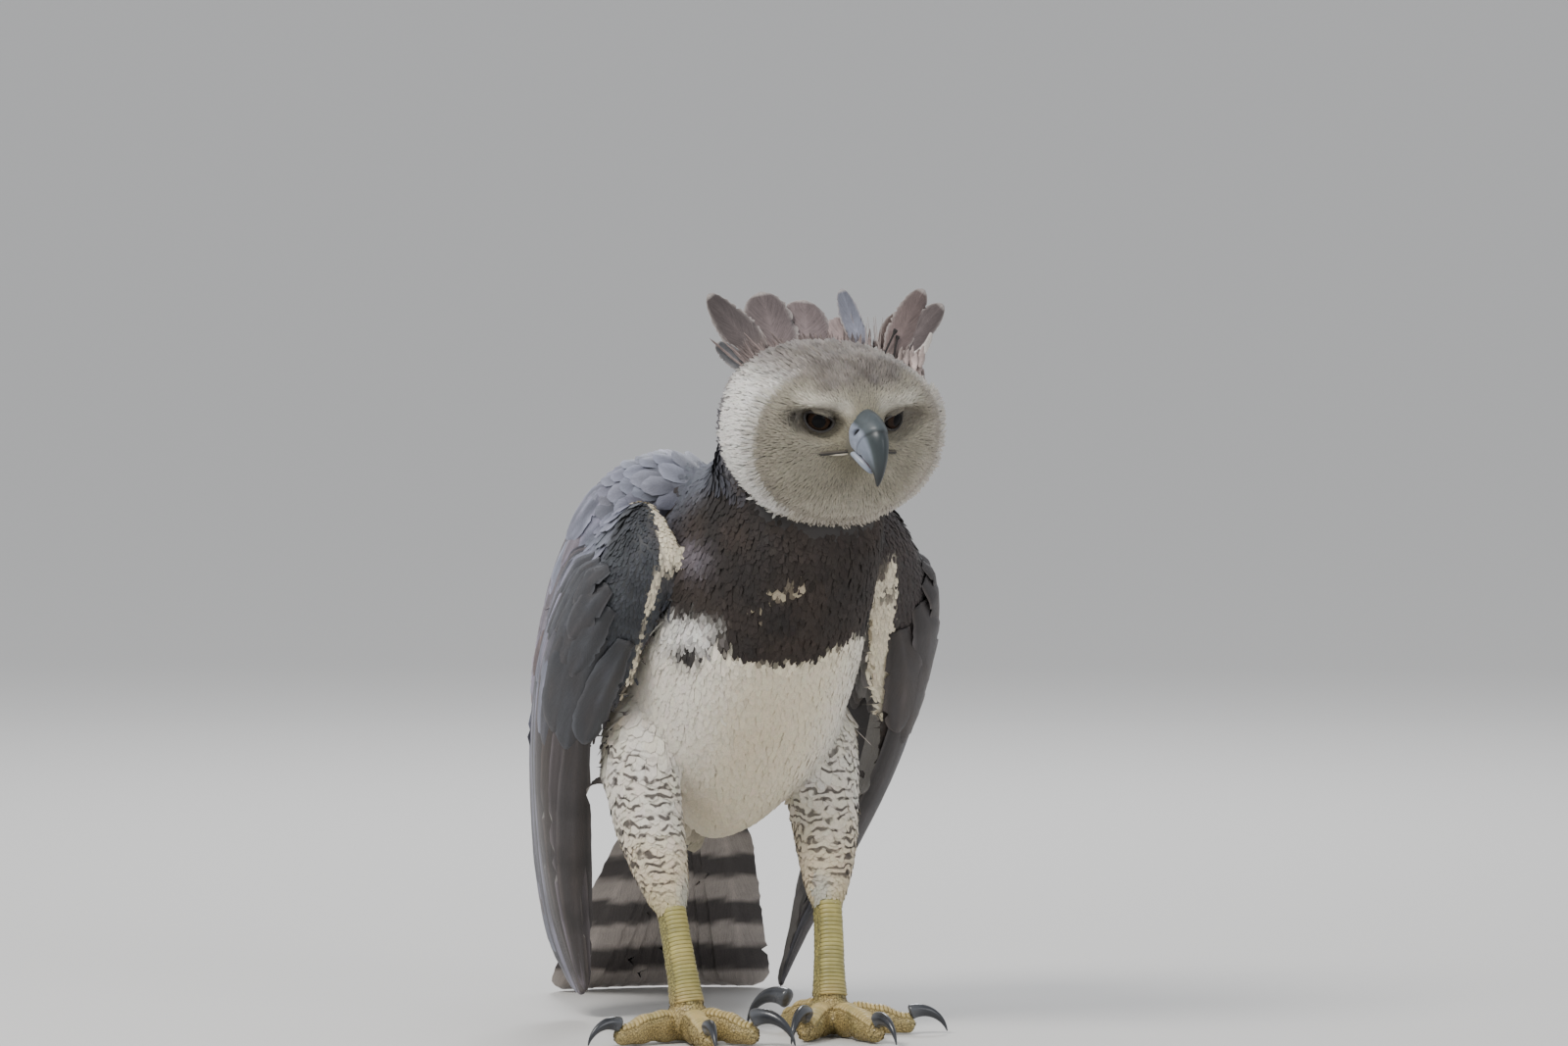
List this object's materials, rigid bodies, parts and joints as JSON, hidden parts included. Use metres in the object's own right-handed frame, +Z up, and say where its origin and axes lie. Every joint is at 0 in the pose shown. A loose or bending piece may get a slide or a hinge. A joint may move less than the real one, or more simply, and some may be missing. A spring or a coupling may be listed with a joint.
{
  "type": "harpy eagle model",
  "caption": "Life-size standing harpy eagle, hunched, with raised crest and facial ruff, hooked bill, drooped wings, banded tail laid on the floor and large taloned feet.",
  "frame": {"origin": "on the floor, level with the soles, under the middle of the bird's length and width", "axes": "+Z up, -Y the way the bird's body faces, +X its left side"},
  "size_m": [0.376, 0.7549, 0.6998],
  "materials": {
    "head_feathers": "soft ash-grey contour feathers, paler towards the ruff",
    "crest_feathers": "grey-brown vanes with pale edges",
    "breast_band_feathers": "blackish charcoal contour feathers",
    "body_feathers": "creamy white below, slate grey on the back",
    "wing_feathers": "slate grey vanes with a dull bluish sheen and paler edges",
    "tail_feathers": "dark vanes with broad grey bands, paler below",
    "thigh_feathers": "cream with fine dark broken crossbars",
    "leg_scales": "yellow scutes and fine scales, satin",
    "bill_horn": "slate horn, paler waxy cere, darker tip",
    "claw_horn": "blue-black horn",
    "eye": "dark brown iris, black pupil, wet clear surface"
  },
  "bodies": {
    "root": {"head": "head_feathers", "crest": "crest_feathers", "bill_upper": "bill_horn", "bill_lower": "bill_horn", "eye_left": "eye", "eye_right": "eye", "neck": "breast_band_feathers", "trunk": "body_feathers", "wing_left": "wing_feathers", "wing_right": "wing_feathers", "tail": "tail_feathers", "thigh_left": "thigh_feathers", "thigh_right": "thigh_feathers", "tarsus_left": "leg_scales", "tarsus_right": "leg_scales", "foot_left": "leg_scales", "foot_right": "leg_scales", "claw_middle_left": "claw_horn", "claw_inner_left": "claw_horn", "claw_outer_left": "claw_horn", "claw_hind_left": "claw_horn", "claw_middle_right": "claw_horn", "claw_inner_right": "claw_horn", "claw_outer_right": "claw_horn", "claw_hind_right": "claw_horn"}
  },
  "joints": []
}
